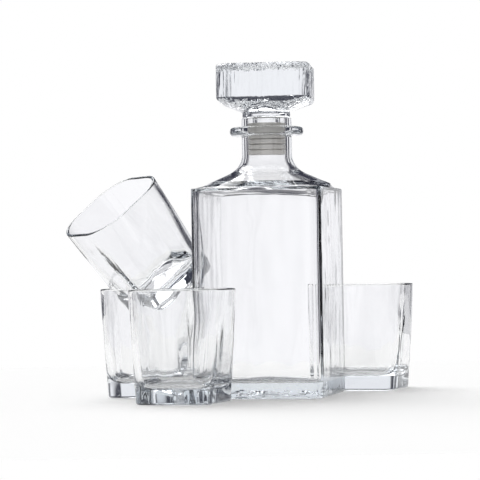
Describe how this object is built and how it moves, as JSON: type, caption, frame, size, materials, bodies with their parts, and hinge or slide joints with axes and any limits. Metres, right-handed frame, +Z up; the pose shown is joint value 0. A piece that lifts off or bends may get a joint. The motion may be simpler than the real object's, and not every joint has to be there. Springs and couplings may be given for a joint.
{
  "type": "whiskey decanter with glasses",
  "caption": "Square glass whiskey decanter with faceted corners, a flanged neck and a lift-out block stopper, with matching square tumblers standing and tipped beside it.",
  "frame": {"origin": "middle of the whole set's bounding box, on the surface that the set stands on", "axes": "+Z up along the decanter's axis, +X to the viewer's right in the picture, +Y away from the viewer"},
  "size_m": [0.245, 0.2074, 0.2283],
  "materials": {
    "bottle": "clear pressed soda-lime glass, fire polished",
    "stopper": "clear pressed soda-lime glass, fire polished",
    "front_tumbler": "clear pressed soda-lime glass, fire polished",
    "back_tumbler": "clear pressed soda-lime glass, fire polished",
    "right_tumbler": "clear pressed soda-lime glass, fire polished",
    "tilted_tumbler": "clear pressed soda-lime glass, fire polished",
    "stopper_seal": "moulded translucent grey elastomer, ribbed"
  },
  "bodies": {
    "bottle": {"bottle": "bottle"},
    "seal": {"stopper_seal": "stopper_seal"},
    "stopper": {"stopper": "stopper"},
    "front_tumbler": {"front_tumbler": "front_tumbler"},
    "back_tumbler": {"back_tumbler": "back_tumbler"},
    "tilted_tumbler": {"tilted_tumbler": "tilted_tumbler"},
    "right_tumbler": {"right_tumbler": "right_tumbler"}
  },
  "joints": [
    {"name": "stopper_lift", "type": "slide", "parent": "bottle", "child": "seal", "axis": [0, 0, 1], "range_m": [0, 0.08]},
    {"name": "stopper_turn", "type": "hinge", "parent": "seal", "child": "stopper", "pos_m": [0.0184, 0.00132, 0.192], "axis": [0, 0, 1], "continuous": true},
    {"name": "front_tumbler_lift", "type": "slide", "parent": "bottle", "child": "front_tumbler", "axis": [0, 0, 1], "range_m": [0, 0.16]},
    {"name": "back_tumbler_lift", "type": "slide", "parent": "bottle", "child": "back_tumbler", "axis": [0, 0, 1], "range_m": [0, 0.16]},
    {"name": "tilted_tumbler_lift", "type": "slide", "parent": "back_tumbler", "child": "tilted_tumbler", "axis": [0, 0, 1], "range_m": [0, 0.12]},
    {"name": "right_tumbler_lift", "type": "slide", "parent": "bottle", "child": "right_tumbler", "axis": [0, 0, 1], "range_m": [0, 0.16]}
  ]
}
